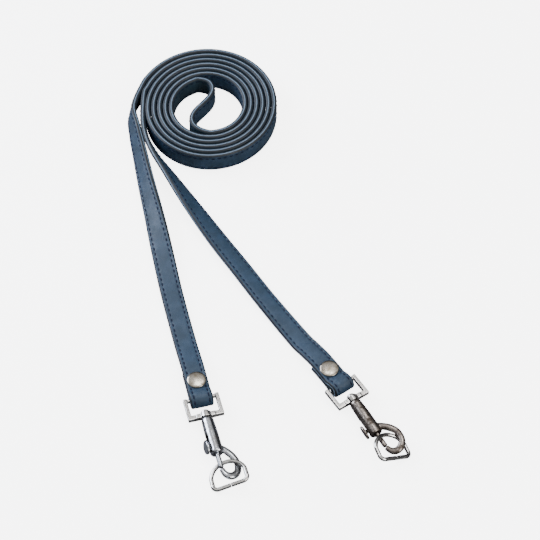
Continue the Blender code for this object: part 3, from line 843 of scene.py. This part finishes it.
plated_nickel = make_metal(
    "plated_nickel", (0.72, 0.71, 0.69), (0.3, 0.28, 0.26), 0.1, 0.2, 0.000004,
    {"Cloud per mm": 0.3, "Pits per mm": 0.8}, 0.6,
)
bright_casting = make_metal(
    "bright_casting", (0.56, 0.58, 0.62), (0.17, 0.16, 0.15), 0.12, 0.25, 0.000008,
    {"Cloud per mm": 0.2, "Pits per mm": 0.9}, 0.75,
)
browned_casting = make_metal(
    "browned_casting", (0.28, 0.245, 0.22), (0.055, 0.043, 0.035), 0.22, 0.25, 0.00003,
    {"Cloud per mm": 0.45, "Pits per mm": 1.6}, 1.0,
)
cap_nickel = make_metal(
    "satin_cap_nickel", (0.46, 0.42, 0.36), (0.17, 0.14, 0.1), 0.2, 0.15, 0.000008,
    {"Cloud per mm": 0.35, "Pits per mm": 2.8}, 0.85,
)
spring_steel = make_metal(
    "spring_steel", (0.5, 0.5, 0.5), (0.25, 0.24, 0.23), 0.3, 0.2, 0.00001,
    {"Cloud per mm": 1.0, "Pits per mm": 4.0}, 0.6,
)
SNAP_METAL = {"left": (bright_casting, "bright_snap"), "right": (browned_casting, "aged_snap")}
print("metals:", plated_nickel.name, bright_casting.name, browned_casting.name, cap_nickel.name)

# %% [markdown]
# ## Shapes in an end's own frame
# Eye, snap and bolt are made round the X axis of their end, with Y on the hook's side, and are then put
# in place by one matrix. The joints in the record give that matrix: the hinge lies on the eye's bar and
# the swivel runs along the snap.

# %% Frames of the two ends
SNAP_ROLL = {"left": -20.5, "right": 10.5}
SWIVEL_FROM_BAR = 20.0 * MM


def frame_matrix(x_axis, y_axis, origin):
    z_axis = x_axis.cross(y_axis).normalized()
    y_axis = z_axis.cross(x_axis).normalized()
    return Matrix.Translation(origin) @ Matrix((x_axis, y_axis, z_axis)).transposed().to_4x4()


def eye_matrix(side):
    hinge = joints[side + "_eye_hinge"]
    rise = joints[side + "_swivel"]["axis"][2]
    across = Vector(hinge["axis"]).normalized()
    forward = across.cross(UP).normalized() * math.sqrt(1 - rise ** 2) + UP * rise
    return frame_matrix(forward, across, Vector(hinge["pos_m"]))


def snap_matrix(side):
    swivel = joints[side + "_swivel"]
    forward = Vector(swivel["axis"]).normalized()
    origin = Vector(swivel["pos_m"]) - forward * SWIVEL_FROM_BAR
    level = UP.cross(forward).normalized()
    roll = math.radians(SNAP_ROLL[side])
    hook_side = level * math.cos(roll) + forward.cross(level) * math.sin(roll)
    return frame_matrix(forward, hook_side, origin)


for side in SIDES:
    print(side, "snap origin (mm):", [round(value / MM, 2) for value in snap_matrix(side).translation])

# %% Turned shapes, rods, blocks and sweeps
ROUND_STEPS = 56


def turned(profile, axis="X", steps=ROUND_STEPS):
    """A closed turned mesh. The profile is (radius, along), from one pole to the other."""
    bm = bmesh.new()
    rings = []
    for radius, along in profile:
        if radius == 0:
            rings.append([bm.verts.new((0, 0, along))])
            continue
        ring = []
        for i in range(steps):
            angle = 2 * math.pi * i / steps
            ring.append(bm.verts.new((radius * math.cos(angle), radius * math.sin(angle), along)))
        rings.append(ring)
    for ring, following in zip(rings, rings[1:]):
        for i in range(steps):
            j = (i + 1) % steps
            if len(ring) == 1:
                bm.faces.new((ring[0], following[i], following[j]))
            elif len(following) == 1:
                bm.faces.new((ring[i], ring[j], following[0]))
            else:
                bm.faces.new((ring[i], ring[j], following[j], following[i]))
    if axis == "X":
        bmesh.ops.rotate(bm, verts=bm.verts, matrix=Matrix.Rotation(math.radians(90), 3, "Y"))
    if axis == "-Y":
        bmesh.ops.rotate(bm, verts=bm.verts, matrix=Matrix.Rotation(math.radians(90), 3, "X"))
    return clean_mesh("turned", bm)


def rod(radius, start, end, steps=ROUND_STEPS):
    return turned(((0, start), (radius, start), (radius, end), (0, end)), steps=steps)


def block(low, high):
    bm = bmesh.new()
    bmesh.ops.create_cube(bm, size=1.0)
    size = Vector(high) - Vector(low)
    bmesh.ops.scale(bm, verts=bm.verts, vec=size)
    bmesh.ops.translate(bm, verts=bm.verts, vec=Vector(low) + size / 2)
    return clean_mesh("block", bm)


def sweep(stations_given, outline):
    """A closed solid whose outline is carried along (centre, across, up) stations."""
    bm = bmesh.new()
    rings = []
    for centre, across, up in stations_given:
        rings.append([bm.verts.new(centre + across * a + up * b) for a, b in outline])
    count = len(outline)
    for ring, following in zip(rings, rings[1:]):
        for i in range(count):
            j = (i + 1) % count
            bm.faces.new((ring[i], ring[j], following[j], following[i]))
    bm.faces.new(rings[0][::-1])
    bm.faces.new(rings[-1])
    return clean_mesh("sweep", bm)


def circle_outline(steps):
    return [(math.cos(2 * math.pi * i / steps), math.sin(2 * math.pi * i / steps)) for i in range(steps)]


print("round pieces have", ROUND_STEPS, "sides")

# %% [markdown]
# ## Castings
# A casting has no sharp corners: the metal rounds every edge and fills every inside corner a little.
# Joining rough shapes and softening them together gives that look. So a casting is a union of shapes
# with others cut away, remade from small even cells, and then relaxed a few times.

# %% Cast a piece
def cast(name, joined, cut, cell, relax):
    """One soft-edged mesh from shapes joined to the first one and shapes cut from it."""
    holders = []
    for mesh in joined + cut:
        holder = bpy.data.objects.new("shape", mesh)
        bpy.context.scene.collection.objects.link(holder)
        holders.append(holder)
    body = holders[0]
    for i, holder in enumerate(holders[1:], 1):
        boolean = body.modifiers.new("shape", "BOOLEAN")
        boolean.object = holder
        boolean.operation = "UNION" if i < len(joined) else "DIFFERENCE"
    cells = body.modifiers.new("cells", "REMESH")
    cells.mode = "VOXEL"
    cells.voxel_size = cell
    soften = body.modifiers.new("soften", "SMOOTH")
    soften.factor = 0.5
    soften.iterations = relax
    graph = bpy.context.evaluated_depsgraph_get()
    mesh = bpy.data.meshes.new_from_object(body.evaluated_get(graph))
    for holder in holders:
        bpy.data.objects.remove(holder)
    mesh.name = name
    return mesh


def place_piece(name, mesh, matrix, material, body, node, smooth_angle=40):
    mesh.transform(matrix)
    piece = add_piece(name, mesh, material, smooth_angle)
    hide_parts(node)
    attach(piece, body)
    print(name, "faces:", len(mesh.polygons))
    return piece


# %% [markdown]
# ## Swivel eyes
# The eye is a square frame. The strap's loop hides its far bar, two flat arms run forward, and the near
# bar swells into an arched boss that holds the swivel pin. It is a die casting, plated bright.

# %% Swivel eyes
EYE_WIDTH = 18.8 * MM
EYE_ARM = 2.0 * MM
EYE_HEIGHT = 2.6 * MM
EYE_FRONT = 12.0 * MM
CROSSBAR = 2.5 * MM
BAR_RADIUS = 1.1 * MM
BOSS_RADIUS = 3.0 * MM
PIN_HOLE_RADIUS = 1.55 * MM
SHOULDER_SPAN = 0.52
SHOULDER_RISE = 0.35 * MM
FRAME_CELL = 0.16 * MM
EYE_CELL = 0.13 * MM


def make_eye(side):
    half = EYE_WIDTH / 2
    frame_block = block((-BAR_RADIUS, -half, -EYE_HEIGHT / 2), (EYE_FRONT, half, EYE_HEIGHT / 2))
    bar = rod(BAR_RADIUS, -half + 0.5 * MM, half - 0.5 * MM)
    bar.transform(Matrix.Rotation(math.radians(90), 4, "Z"))
    boss = rod(BOSS_RADIUS, EYE_FRONT - CROSSBAR - 0.3 * MM, EYE_FRONT + 0.15 * MM)
    shoulders = block(
        (EYE_FRONT - CROSSBAR, -half * SHOULDER_SPAN, -EYE_HEIGHT / 2),
        (EYE_FRONT, half * SHOULDER_SPAN, EYE_HEIGHT / 2 + SHOULDER_RISE),
    )
    window = block((-3 * MM, EYE_ARM - half, -4 * MM), (EYE_FRONT - CROSSBAR, half - EYE_ARM, 4 * MM))
    hole = rod(PIN_HOLE_RADIUS, 5 * MM, 14 * MM)
    # The window would cut the bar too, so the bar is joined after it: first the frame, then the rest.
    frame_only = cast("frame", [frame_block], [window], FRAME_CELL, relax=0)
    mesh = cast("eye", [frame_only, bar, boss, shoulders], [hole], EYE_CELL, relax=12)
    place_piece(
        side + "_eye_casting", mesh, eye_matrix(side), plated_nickel,
        side + "_eye", side + "_swivel_eye",
    )


for side in SIDES:
    make_eye(side)

# %% [markdown]
# ## Swivel pins
# A short pin runs from behind the eye's boss into the snap's barrel. Its head is the round end that shows
# inside the eye's window, and it lets the snap turn freely.

# %% Swivel pins
PIN_RADIUS = 1.25 * MM
PIN_HEAD_RADIUS = 2.2 * MM
PIN_END = 15.8 * MM
HEAD_BACK = EYE_FRONT - CROSSBAR - 0.6 * MM
PIN_HEAD_LENGTH = 1.5 * MM
PIN_HEAD_EDGE = 0.15 * MM


def make_pin(side):
    profile = [
        (0, PIN_END), (PIN_RADIUS, PIN_END), (PIN_RADIUS, HEAD_BACK),
        (PIN_HEAD_RADIUS - PIN_HEAD_EDGE, HEAD_BACK), (PIN_HEAD_RADIUS, HEAD_BACK - PIN_HEAD_EDGE),
    ]
    straight = 2 * PIN_HEAD_EDGE
    for degrees in range(0, 90, 10):
        angle = math.radians(degrees)
        along = HEAD_BACK - straight - (PIN_HEAD_LENGTH - straight) * math.sin(angle)
        profile.append((PIN_HEAD_RADIUS * math.cos(angle), along))
    profile.append((0, HEAD_BACK - PIN_HEAD_LENGTH))
    place_piece(
        side + "_pin_turning", turned(profile), snap_matrix(side), plated_nickel,
        side + "_snap", side + "_swivel_pin",
    )


for side in SIDES:
    make_pin(side)

# %% [markdown]
# ## Snap bodies
# The snap is one casting: a slightly tapered barrel with a bore for the bolt, a slot for the thumb knob,
# and a hook that leaves the barrel's side and comes round to meet the bolt's tip.

# %% Snap bodies
BARREL_START = 12.6 * MM
BARREL_END = 34.2 * MM
BARREL_RADII = (3.15 * MM, 3.45 * MM)
BORE_RADIUS = 1.6 * MM
BORE_START = 17.2 * MM
SLOT = (22.9 * MM, 32.6 * MM)
SLOT_WIDTH = 2.5 * MM
# The hook's centre line in millimetres from the barrel's end: along, sideways and half width
HOOK_ROUTE = (
    (-4.0, 2.0, 1.7), (-2.0, 4.6, 1.85), (0.5, 7.0, 1.9), (3.8, 8.9, 1.8), (7.3, 9.3, 1.75), (10.6, 8.4, 1.8),
    (12.9, 6.2, 1.95), (13.6, 3.7, 1.95), (12.7, 1.6, 1.8), (10.9, 0.5, 1.55), (9.2, 0.1, 1.4),
)
HOOK_FLATNESS = 0.82
HOOK_SIDES = 28
SNAP_CELL = 0.17 * MM


def hook_stations():
    found = []
    places = smooth_curve([Vector(point) for point in HOOK_ROUTE], 8)
    for i, place in enumerate(places):
        along = places[min(i + 1, len(places) - 1)] - places[max(i - 1, 0)]
        sideways = Vector((-along.y, along.x, 0)).normalized() * place.z * MM
        centre = Vector((place.x * MM + BARREL_END, place.y * MM, 0))
        found.append((centre, sideways, Vector((0, 0, place.z * MM * HOOK_FLATNESS))))
    return found


def make_snap_body(side):
    thin, thick = BARREL_RADII
    barrel = turned((
        (0, BARREL_END), (thick - 0.5 * MM, BARREL_END), (thick, BARREL_END - 0.6 * MM),
        (thick, BARREL_START + 9 * MM), (thin, BARREL_START + 1.2 * MM), (thin - 0.4 * MM, BARREL_START),
        (0, BARREL_START),
    ))
    hook = sweep(hook_stations(), circle_outline(HOOK_SIDES))
    cuts = [
        rod(BORE_RADIUS, BORE_START, BARREL_END + 5 * MM),
        block((SLOT[0], -8 * MM, -SLOT_WIDTH / 2), (SLOT[1], 0, SLOT_WIDTH / 2)),
        rod(PIN_RADIUS + 0.1 * MM, 8 * MM, PIN_END + 0.2 * MM),
    ]
    metal, slot = SNAP_METAL[side]
    mesh = cast("snap", [barrel, hook], cuts, SNAP_CELL, relax=9)
    place_piece(
        side + "_snap_casting", mesh, snap_matrix(side), metal, side + "_snap", side + "_snap_body",
    )


for side in SIDES:
    make_snap_body(side)

# %% [markdown]
# ## Bolts and thumb knobs
# The bolt slides in the bore and closes the hook. Its thumb knob stands out through the slot: an oval
# button on a thin neck, with a shallow dish in its face so that a thumb doesn't slip.

# %% Bolts and knobs
BOLT_RADIUS = 1.3 * MM
BOLT_SPAN = (27.7 * MM, 42.6 * MM)
KNOB_AT = 30.2 * MM
KNOB_RADIUS = 4.0 * MM
KNOB_HEIGHT = 0.72
KNOB_FACE = 5.5 * MM
KNOB_THICKNESS = 1.4 * MM
KNOB_NECK_RADIUS = 1.0 * MM
KNOB_STEM_RADIUS = 0.7 * MM
KNOB_DISH = 0.35 * MM
TIP_ROUND = 0.5 * MM


def make_bolt(side):
    start, end = BOLT_SPAN
    profile = [(0, end)]
    for degrees in range(90, -1, -15):
        angle = math.radians(degrees)
        profile.append((
            BOLT_RADIUS - TIP_ROUND + TIP_ROUND * math.cos(angle),
            end - TIP_ROUND + TIP_ROUND * math.sin(angle),
        ))
    profile += [(BOLT_RADIUS, start + 0.2 * MM), (BOLT_RADIUS - 0.2 * MM, start), (0, start)]
    metal, slot = SNAP_METAL[side]
    place_piece(
        side + "_bolt_turning", turned(profile), snap_matrix(side), metal, side + "_bolt", side + "_bolt",
    )


def make_knob(side):
    back = KNOB_FACE - KNOB_THICKNESS
    profile = [(0, KNOB_FACE - KNOB_DISH)]
    for i in range(1, 8):
        reach = i / 8
        profile.append((KNOB_RADIUS * 0.76 * reach, KNOB_FACE - KNOB_DISH * (1 - reach ** 2)))
    for degrees in range(90, -91, -20):
        angle = math.radians(degrees)
        profile.append((
            KNOB_RADIUS * 0.84 + KNOB_RADIUS * 0.16 * math.cos(angle),
            KNOB_FACE - KNOB_THICKNESS / 2 + KNOB_THICKNESS / 2 * math.sin(angle),
        ))
    profile += [
        (KNOB_NECK_RADIUS + 0.7 * MM, back - 0.05 * MM), (KNOB_NECK_RADIUS + 0.2 * MM, back - 0.4 * MM),
        (KNOB_NECK_RADIUS, back - 0.9 * MM), (KNOB_NECK_RADIUS, BOLT_RADIUS + 0.15 * MM),
        (KNOB_STEM_RADIUS, BOLT_RADIUS + 0.15 * MM), (KNOB_STEM_RADIUS, -0.15 * MM), (0, -0.15 * MM),
    ]
    mesh = turned(profile, axis="-Y")
    mesh.transform(Matrix.Diagonal((1, 1, KNOB_HEIGHT, 1)))
    mesh.transform(Matrix.Translation((KNOB_AT, 0, 0)))
    metal, slot = SNAP_METAL[side]
    place_piece(
        side + "_knob_turning", mesh, snap_matrix(side), metal, side + "_bolt", side + "_thumb_knob",
    )


for side in SIDES:
    make_bolt(side)
    make_knob(side)

# %% [markdown]
# ## Bolt springs
# A spring behind the bolt keeps the snap shut. It is a pure helix, so Geometry Nodes draw it: a spiral
# line, a round wire along it, closed ends and its steel. When the bolt is drawn back it leaves the spring
# about 4 mm; the mesh stays at its rest length, and only that closed length is worked out and printed.

# %% Spring tree and springs
SPRING_RADIUS = 1.15 * MM
SPRING_WIRE_RADIUS = 0.2 * MM
SPRING_SPAN = (17.4 * MM, 27.5 * MM)
SPRING_TURNS = 6
SPRING_POINTS_PER_TURN = 28
SPRING_WIRE_SIDES = 10
SPRING_KEEP = 0.41


def make_spring_tree():
    tree, add, link = new_geometry_tree("spring", (
        ("Turns", "Float"), ("Radius", "Float"), ("Length", "Float"), ("Wire radius", "Float"),
        ("Steel", "Material"),
    ))
    given = add("NodeGroupInput")
    result = add("NodeGroupOutput")
    helix = add("GeometryNodeCurveSpiral")
    helix.inputs["Resolution"].default_value = SPRING_POINTS_PER_TURN
    section = add("GeometryNodeCurvePrimitiveCircle")
    section.inputs["Resolution"].default_value = SPRING_WIRE_SIDES
    tube = add("GeometryNodeCurveToMesh")
    tube.inputs["Fill Caps"].default_value = True
    real = add("GeometryNodeRealizeInstances")
    paint = add("GeometryNodeSetMaterial")
    link(given.outputs["Turns"], helix.inputs["Rotations"])
    link(given.outputs["Radius"], helix.inputs["Start Radius"])
    link(given.outputs["Radius"], helix.inputs["End Radius"])
    link(given.outputs["Length"], helix.inputs["Height"])
    link(given.outputs["Wire radius"], section.inputs["Radius"])
    link(helix.outputs["Curve"], tube.inputs["Curve"])
    link(section.outputs["Curve"], tube.inputs["Profile Curve"])
    link(tube.outputs["Mesh"], real.inputs["Geometry"])
    link(real.outputs["Geometry"], paint.inputs["Geometry"])
    link(given.outputs["Steel"], paint.inputs["Material"])
    link(paint.outputs["Geometry"], result.inputs["Geometry"])
    return tree


spring_tree = make_spring_tree()
for side in SIDES:
    start, end = SPRING_SPAN
    seed = bpy.data.objects.new("seed", bpy.data.meshes.new("seed"))
    bpy.context.scene.collection.objects.link(seed)
    coil = run_tree(seed, spring_tree, {
        "Turns": float(SPRING_TURNS), "Radius": SPRING_RADIUS, "Length": end - start - 2 * SPRING_WIRE_RADIUS,
        "Wire radius": SPRING_WIRE_RADIUS, "Steel": spring_steel,
    })
    bpy.data.objects.remove(seed)
    bm = bmesh.new()
    bm.from_mesh(coil)
    coil = clean_mesh("spring", bm)
    coil.transform(Matrix.Rotation(math.radians(90), 4, "Y"))
    coil.transform(Matrix.Translation((start + SPRING_WIRE_RADIUS, 0, 0)))
    spring = place_piece(
        side + "_spring_wire", coil, snap_matrix(side), spring_steel,
        side + "_snap", side + "_bolt_spring",
    )
    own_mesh(spring)
closed_length = SPRING_KEEP * (SPRING_SPAN[1] - SPRING_SPAN[0]) / MM
print("springs close to", round(closed_length, 1), "mm with the bolt back")

# %% [markdown]
# ## Rivets
# One rivet closes each loop. From above it is a low domed cap with a narrow rolled rim. Its post goes
# down through the four plies to a flat head underneath.

# %% Rivets
RIVET_BACK = 10.1 * MM
RIVET_TOP = 7.2 * MM
RIVET_CAP_RADIUS = 4.9 * MM
RIVET_CAP_HEIGHT = 1.2 * MM
RIVET_POST_RADIUS = 1.5 * MM
RIVET_HEAD_RADIUS = 3.6 * MM
RIVET_HEAD_THICKNESS = 0.85 * MM
CAP_RIM = 0.35 * MM


def rivet_matrix(side):
    forward, _ = heading_vectors(STRAP_HEADING[side])
    place = bar_centre(side) - forward * RIVET_BACK
    return Matrix.Translation((place.x, place.y, 0))


def make_rivet(side):
    socket = RIVET_POST_RADIUS + 0.1 * MM
    cap = [(0, RIVET_TOP + RIVET_CAP_HEIGHT)]
    for degrees in range(85, -1, -5):
        angle = math.radians(degrees)
        cap.append((
            RIVET_CAP_RADIUS * math.cos(angle),
            RIVET_TOP + CAP_RIM + (RIVET_CAP_HEIGHT - CAP_RIM) * math.sin(angle),
        ))
    socket_top = RIVET_TOP + 0.8 * MM
    cap += [
        (RIVET_CAP_RADIUS, RIVET_TOP + CAP_RIM * 0.5), (RIVET_CAP_RADIUS - 0.12 * MM, RIVET_TOP + 0.08 * MM),
        (RIVET_CAP_RADIUS - 0.3 * MM, RIVET_TOP), (socket, RIVET_TOP), (socket, socket_top), (0, socket_top),
    ]
    post_top = RIVET_TOP + 0.6 * MM
    head = [
        (0, post_top), (RIVET_POST_RADIUS, post_top), (RIVET_POST_RADIUS, RIVET_HEAD_THICKNESS),
        (RIVET_HEAD_RADIUS - 0.1 * MM, RIVET_HEAD_THICKNESS),
        (RIVET_HEAD_RADIUS, RIVET_HEAD_THICKNESS - 0.15 * MM), (RIVET_HEAD_RADIUS, 0.3 * MM),
        (RIVET_HEAD_RADIUS - 0.12 * MM, 0.1 * MM), (RIVET_HEAD_RADIUS - 0.35 * MM, 0), (0, 0),
    ]
    matrix = rivet_matrix(side)
    place_piece(
        side + "_cap_dome", turned(cap, axis="Z", steps=72), matrix, cap_nickel,
        "strap", side + "_rivet_cap",
    )
    place_piece(
        side + "_post_turning", turned(head, axis="Z", steps=48), matrix, cap_nickel,
        "strap", side + "_rivet_post",
    )


for side in SIDES:
    make_rivet(side)

# %% [markdown]
# ## D rings
# Each ring is a length of round wire bent to a D, and its cut ends meet in the middle of the straight
# side with a hairline gap. It is not welded. The wire's ends are slightly rounded where they were cut.

# %% D rings
RING_WIRE_RADIUS = 1.1 * MM
RING_HALF_WIDTH = 9.1 * MM
RING_DEPTH = 13.8 * MM
RING_CORNER = 2.6 * MM
RING_GAP = 0.3 * MM
CUT_END_BACK = 0.15 * MM
CUT_END_SHARE = 0.87
RING_WIRE_SIDES = 28
# Each ring: the middle of its straight side in millimetres, its heading, and its tilts
RINGS = {
    "left": {"at": (-14.4, -141.4, 3.51), "heading": 14.4, "side_tilt": -14.1, "end_tilt": -1.8},
    "right": {"at": (68.2, -126.4, 4.72), "heading": 24.5, "side_tilt": 24.9, "end_tilt": 6.2},
}


def ring_points():
    """The ring's centre line in its own plane, from one cut end round to the other."""
    straight = RING_HALF_WIDTH - RING_CORNER
    quarter = [(RING_GAP / 2, 0), (straight * 0.5, 0)]
    for degrees in range(-90, 16, 21):
        angle = math.radians(degrees)
        quarter.append((straight + RING_CORNER * math.cos(angle), RING_CORNER * (1 + math.sin(angle))))
    low = RING_CORNER * 2
    for i in range(1, 9):
        angle = math.radians(90 * i / 8)
        quarter.append((RING_HALF_WIDTH * math.cos(angle), low + (RING_DEPTH - low) * math.sin(angle)))
    half = [Vector((x, y, 0)) for x, y in quarter]
    return half + [Vector((-p.x, p.y, 0)) for p in reversed(half[:-1])]


def make_ring(side):
    centres = smooth_curve(ring_points(), 5)
    found = []
    for i, centre in enumerate(centres):
        along = (centres[min(i + 1, len(centres) - 1)] - centres[max(i - 1, 0)]).normalized()
        found.append((centre, along.cross(UP) * RING_WIRE_RADIUS, UP * RING_WIRE_RADIUS))
    ends = []
    tips = []
    for end, inner in ((found[0], found[1]), (found[-1], found[-2])):
        inwards = (inner[0] - end[0]).normalized() * CUT_END_BACK
        ends.append((end[0] + inwards, end[1], end[2]))
        tips.append((end[0], end[1] * CUT_END_SHARE, end[2] * CUT_END_SHARE))
    wire_stations = [tips[0], ends[0]] + found[1:-1] + [ends[1], tips[1]]
    mesh = sweep(wire_stations, circle_outline(RING_WIRE_SIDES))
    ring = RINGS[side]
    turn = (
        Matrix.Rotation(math.radians(ring["heading"]), 4, "Z")
        @ Matrix.Rotation(math.radians(ring["side_tilt"]), 4, "Y")
        @ Matrix.Rotation(math.radians(ring["end_tilt"]), 4, "X")
    )
    matrix = Matrix.Translation(Vector(ring["at"]) * MM) @ turn
    place_piece(
        side + "_ring_wire", mesh, matrix, plated_nickel, side + "_ring", side + "_d_ring",
    )


for side in SIDES:
    make_ring(side)
